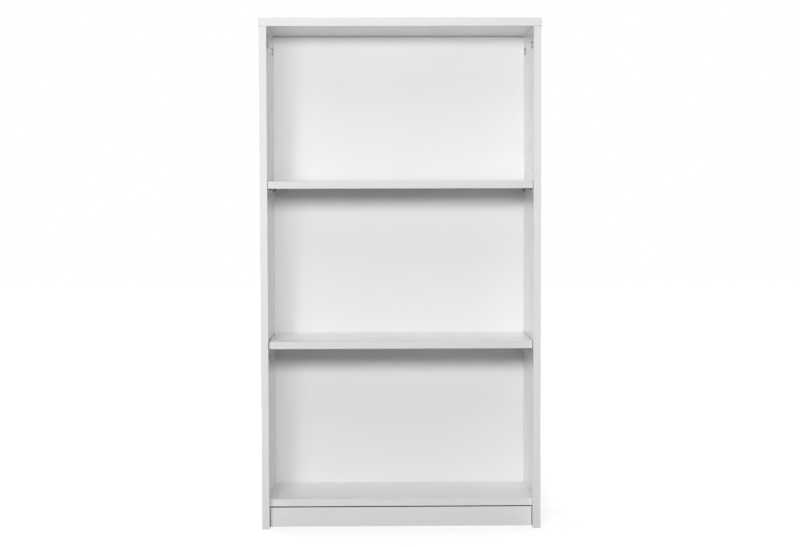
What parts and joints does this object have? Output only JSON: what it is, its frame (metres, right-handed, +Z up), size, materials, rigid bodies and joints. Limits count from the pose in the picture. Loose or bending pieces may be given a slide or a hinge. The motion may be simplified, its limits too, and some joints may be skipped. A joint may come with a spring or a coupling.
{
  "type": "bookcase with adjustable shelves",
  "caption": "Flat-pack white bookcase: side panels, top, fixed bottom shelf over a kickboard, thin back, and loose shelves on pull-out pins in rows of holes.",
  "frame": {"origin": "on the floor at the middle of the footprint", "axes": "+Z up; +X to the right seen from the front; +Y from the open front to the back panel, so the front faces -Y"},
  "size_m": [0.602, 0.24, 1.095],
  "materials": {
    "white_board": "white melamine facing on chipboard, fine satin texture",
    "edge_band": "white satin plastic edge band",
    "hardboard": "hardboard, white lacquer on the front, bare brown on the rear",
    "cam_zinc": "die-cast zinc, tumbled",
    "bolt_steel": "zinc-plated steel",
    "pin_steel": "nickel-plated steel"
  },
  "bodies": {
    "carcass": {"left_side_panel": "white_board", "right_side_panel": "white_board", "top_panel": "white_board", "bottom_shelf": "white_board", "kickboard": "white_board", "left_side_edge_band": "edge_band", "right_side_edge_band": "edge_band", "bottom_shelf_edge_band": "edge_band", "top_front_edge_band": "edge_band", "top_left_edge_band": "edge_band", "top_right_edge_band": "edge_band", "back_panel": "hardboard", "top_cam_bolts": "bolt_steel"},
    "upper_shelf": {"upper_shelf": "white_board", "upper_shelf_edge_band": "edge_band"},
    "middle_shelf": {"middle_shelf": "white_board", "middle_shelf_edge_band": "edge_band"},
    "upper_left_front_pin": {"upper_left_front_pin": "pin_steel"},
    "upper_left_rear_pin": {"upper_left_rear_pin": "pin_steel"},
    "upper_right_front_pin": {"upper_right_front_pin": "pin_steel"},
    "upper_right_rear_pin": {"upper_right_rear_pin": "pin_steel"},
    "middle_left_front_pin": {"middle_left_front_pin": "pin_steel"},
    "middle_left_rear_pin": {"middle_left_rear_pin": "pin_steel"},
    "middle_right_front_pin": {"middle_right_front_pin": "pin_steel"},
    "middle_right_rear_pin": {"middle_right_rear_pin": "pin_steel"},
    "top_left_front_cam": {"top_left_front_cam": "cam_zinc"},
    "top_left_rear_cam": {"top_left_rear_cam": "cam_zinc"},
    "top_right_front_cam": {"top_right_front_cam": "cam_zinc"},
    "top_right_rear_cam": {"top_right_rear_cam": "cam_zinc"}
  },
  "joints": [
    {"name": "upper_shelf_lift", "type": "slide", "parent": "carcass", "child": "upper_shelf", "axis": [0, 0, 1], "range_m": [0, 0.032]},
    {"name": "middle_shelf_lift", "type": "slide", "parent": "carcass", "child": "middle_shelf", "axis": [0, 0, 1], "range_m": [0, 0.032]},
    {"name": "upper_left_front_pin_pull", "type": "slide", "parent": "carcass", "child": "upper_left_front_pin", "axis": [1, 0, 0], "range_m": [0, 0.009]},
    {"name": "upper_left_rear_pin_pull", "type": "slide", "parent": "carcass", "child": "upper_left_rear_pin", "axis": [1, 0, 0], "range_m": [0, 0.009]},
    {"name": "upper_right_front_pin_pull", "type": "slide", "parent": "carcass", "child": "upper_right_front_pin", "axis": [-1, 0, 0], "range_m": [0, 0.009]},
    {"name": "upper_right_rear_pin_pull", "type": "slide", "parent": "carcass", "child": "upper_right_rear_pin", "axis": [-1, 0, 0], "range_m": [0, 0.009]},
    {"name": "middle_left_front_pin_pull", "type": "slide", "parent": "carcass", "child": "middle_left_front_pin", "axis": [1, 0, 0], "range_m": [0, 0.009]},
    {"name": "middle_left_rear_pin_pull", "type": "slide", "parent": "carcass", "child": "middle_left_rear_pin", "axis": [1, 0, 0], "range_m": [0, 0.009]},
    {"name": "middle_right_front_pin_pull", "type": "slide", "parent": "carcass", "child": "middle_right_front_pin", "axis": [-1, 0, 0], "range_m": [0, 0.009]},
    {"name": "middle_right_rear_pin_pull", "type": "slide", "parent": "carcass", "child": "middle_right_rear_pin", "axis": [-1, 0, 0], "range_m": [0, 0.009]},
    {"name": "top_left_front_cam_turn", "type": "hinge", "parent": "carcass", "child": "top_left_front_cam", "pos_m": [-0.284, -0.083, 1.04], "axis": [1, 0, 0], "range_deg": [0, 180]},
    {"name": "top_left_rear_cam_turn", "type": "hinge", "parent": "carcass", "child": "top_left_rear_cam", "pos_m": [-0.284, 0.079, 1.04], "axis": [1, 0, 0], "range_deg": [0, 180]},
    {"name": "top_right_front_cam_turn", "type": "hinge", "parent": "carcass", "child": "top_right_front_cam", "pos_m": [0.284, -0.083, 1.04], "axis": [-1, 0, 0], "range_deg": [0, 180]},
    {"name": "top_right_rear_cam_turn", "type": "hinge", "parent": "carcass", "child": "top_right_rear_cam", "pos_m": [0.284, 0.079, 1.04], "axis": [-1, 0, 0], "range_deg": [0, 180]}
  ]
}
